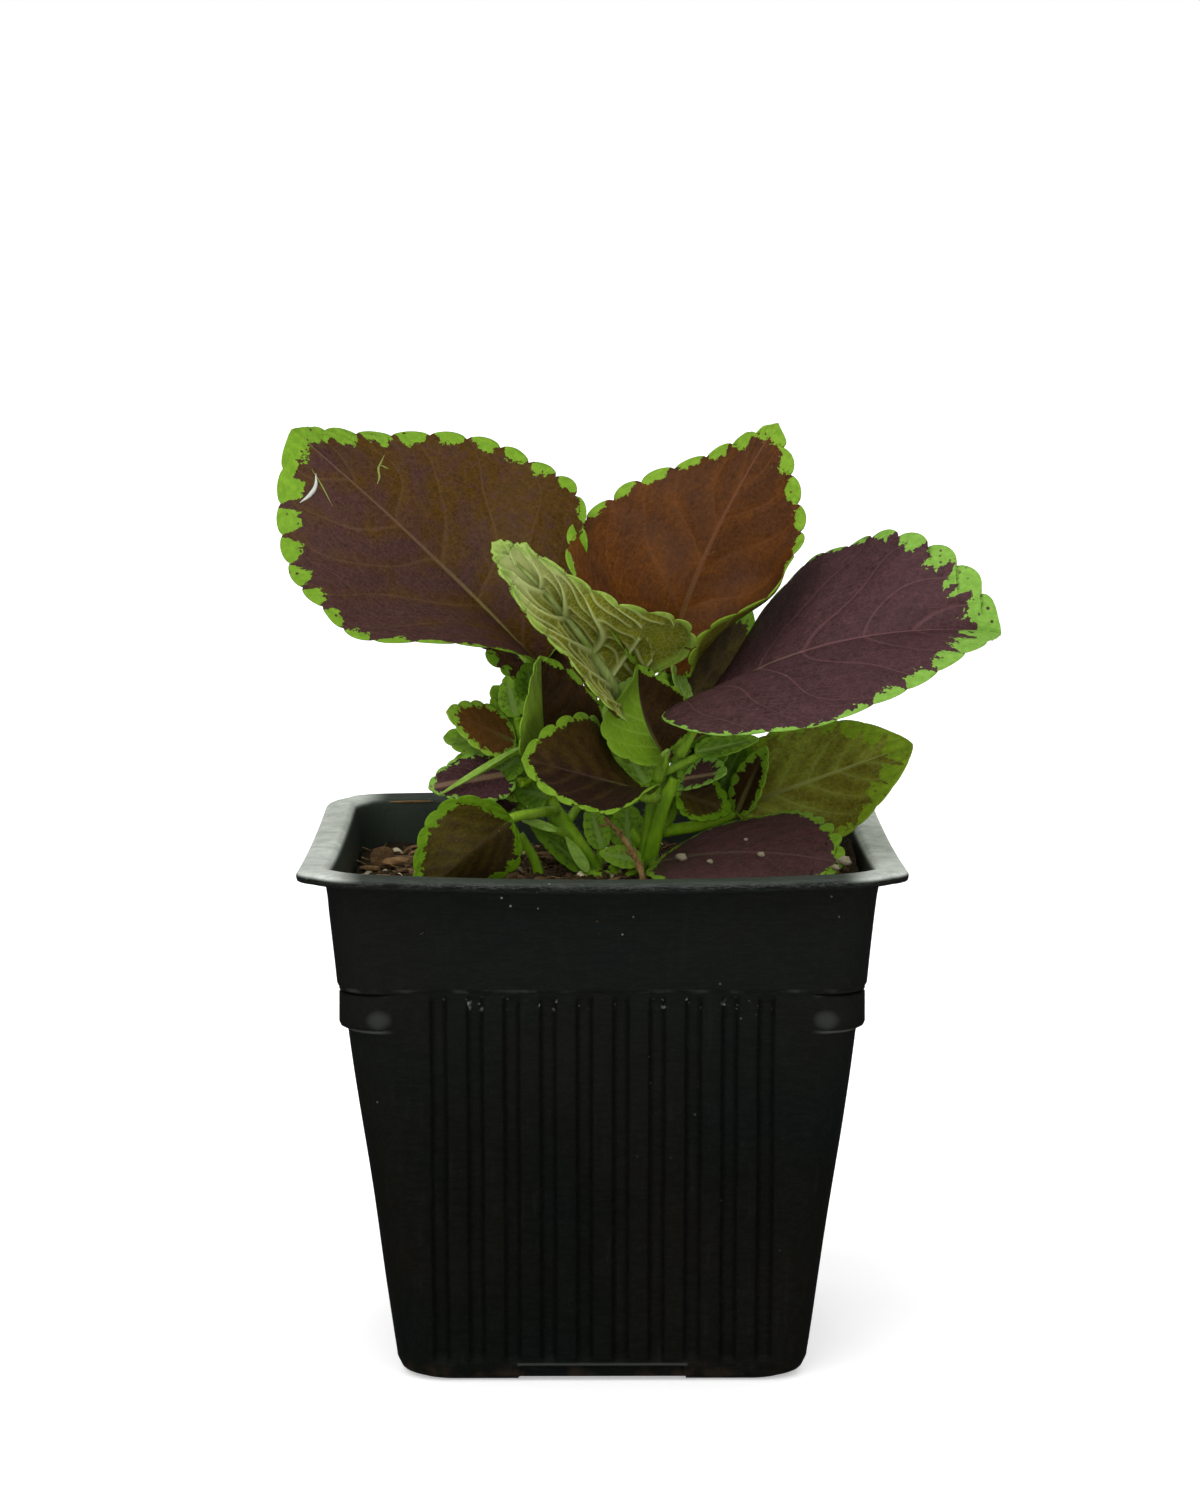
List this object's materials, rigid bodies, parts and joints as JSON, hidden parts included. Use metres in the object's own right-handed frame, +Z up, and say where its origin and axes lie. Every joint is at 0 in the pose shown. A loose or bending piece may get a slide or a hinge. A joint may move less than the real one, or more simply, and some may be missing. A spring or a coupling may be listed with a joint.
{
  "type": "potted coleus",
  "caption": "Young coleus in a square ribbed nursery pot of soil, with rust and purple scalloped leaves edged in lime green.",
  "frame": {"origin": "middle of the flat underside of the pot", "axes": "+Z up out of the pot, -Y towards the front face, +X to the right seen from the front"},
  "size_m": [0.1255, 0.102, 0.1613],
  "materials": {
    "pot_plastic": "satin black thermoformed plastic with light scuffs on the rim",
    "soil": "dry peat with bark and perlite",
    "stem": "soft green stem, slightly glossy",
    "leaf": "rust to purple blade with a lime green scalloped margin, olive underneath",
    "dry_wood": "dry brown twig"
  },
  "bodies": {
    "root": {"pot": "pot_plastic", "soil": "soil", "stem_left": "stem", "stem_main": "stem", "dry_twig": "dry_wood", "leaf_left_large": "leaf", "leaf_back_right": "leaf", "leaf_front_young": "leaf", "leaf_right_large": "leaf", "leaf_front_right": "leaf", "leaf_front_left": "leaf", "leaf_centre": "leaf", "leaf_upright_left": "leaf", "leaf_upright_right": "leaf", "leaf_behind_right": "leaf", "leaf_back_left": "leaf", "leaf_back_middle": "leaf", "leaf_back_lower": "leaf", "spray_left": "leaf", "spray_left_upper": "leaf", "spray_low_left": "leaf", "spray_right": "leaf", "spray_right_lower": "leaf", "spray_foot": "leaf"}
  },
  "joints": []
}
